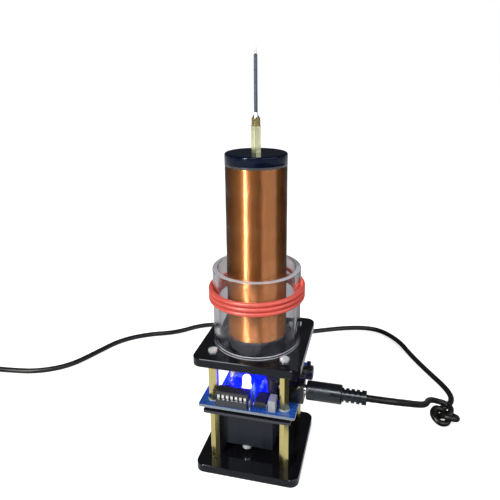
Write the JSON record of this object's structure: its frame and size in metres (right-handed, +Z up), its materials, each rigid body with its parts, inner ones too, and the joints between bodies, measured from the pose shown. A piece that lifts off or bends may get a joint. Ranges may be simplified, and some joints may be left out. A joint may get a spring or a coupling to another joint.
{
  "type": "desktop resonant transformer",
  "caption": "Tall copper-wound coil with a discharge needle on a two-deck stand, a few thick red primary turns round a clear tube at its foot, driver board and power lead.",
  "frame": {"origin": "centre of the base plate's underside", "axes": "+Z up along the coil towards the needle; front is -Y; +X points out of the power jack and the tuning knob"},
  "size_m": [0.3934, 0.225, 0.2381],
  "materials": {
    "black_acrylic": "polished",
    "brass": "turned, satin",
    "steel": "bright plated",
    "sheet_black": "satin with a pale cut edge",
    "board_blue": "lacquered",
    "clear_acrylic": "polished",
    "red_wire": "satin rubbery insulation",
    "black_pipe": "satin",
    "enamel_copper": "enamelled wire, fine even turns",
    "clear_tape": "glossy",
    "enamel_lead": "enamelled",
    "black_anodised": "black anodised",
    "solder": "bright solder",
    "needle_steel": "ground",
    "heat_shrink": "satin",
    "mould_black": "satin mould compound",
    "socket_black": "satin",
    "film_white": "satin",
    "can_sleeve": "printed sleeve",
    "ceramic_tan": "dipped",
    "resistor_blue": "lacquered",
    "lamp_blue": "clear epoxy",
    "pad_grey": "matt",
    "jack_black": "satin",
    "pot_body": "satin",
    "shaft_metal": "turned",
    "knob_black": "satin",
    "plug_black": "satin",
    "barrel_nickel": "nickel plated",
    "cord_black": "satin",
    "tie_black": "satin"
  },
  "bodies": {
    "stand": {"base_plate": "black_acrylic", "base_screws": "steel", "lower_posts": "brass", "carrier_sheet": "sheet_black", "spacer_nuts": "steel", "driver_board": "board_blue", "upper_posts": "brass", "top_plate": "black_acrylic", "top_screws": "steel", "heat_sink": "black_anodised", "sink_screws": "steel", "sink_nuts": "steel", "power_transistors": "mould_black", "insulating_pads": "pad_grey", "transistor_screws": "steel", "chip_socket": "socket_black", "logic_chip": "mould_black", "gate_driver": "mould_black", "electrolytic_capacitors": "can_sleeve", "film_capacitor": "film_white", "ceramic_capacitors": "ceramic_tan", "resistors": "resistor_blue", "regulator": "mould_black", "status_led": "lamp_blue", "solder_joints": "solder", "power_jack": "jack_black", "potentiometer": "pot_body", "primary_former": "clear_acrylic", "primary_winding": "red_wire", "secondary_pipe": "black_pipe", "secondary_winding": "enamel_copper", "end_tapes": "clear_tape", "foot_plug": "black_pipe", "foot_screw": "steel", "end_wires": "enamel_lead", "top_cap": "black_pipe", "terminal_screw": "steel", "terminal_post": "brass", "needle_ferrule": "brass", "solder_cone": "solder", "discharge_needle": "needle_steel", "needle_sleeve": "heat_shrink", "dc_plug": "plug_black", "plug_barrel": "barrel_nickel", "supply_cord": "cord_black", "cord_knot": "cord_black", "cord_run": "cord_black", "cord_coil": "cord_black", "cord_tail": "cord_black", "cord_tie": "tie_black", "inline_socket": "plug_black"},
    "tuning_control": {"tuning_shaft": "shaft_metal", "tuning_knob": "knob_black"}
  },
  "joints": [
    {"name": "tuning_turn", "type": "hinge", "parent": "stand", "child": "tuning_control", "pos_m": [0.0286, 0.0055, 0.0512], "axis": [1, 0, 0], "range_deg": [-140, 140]}
  ]
}
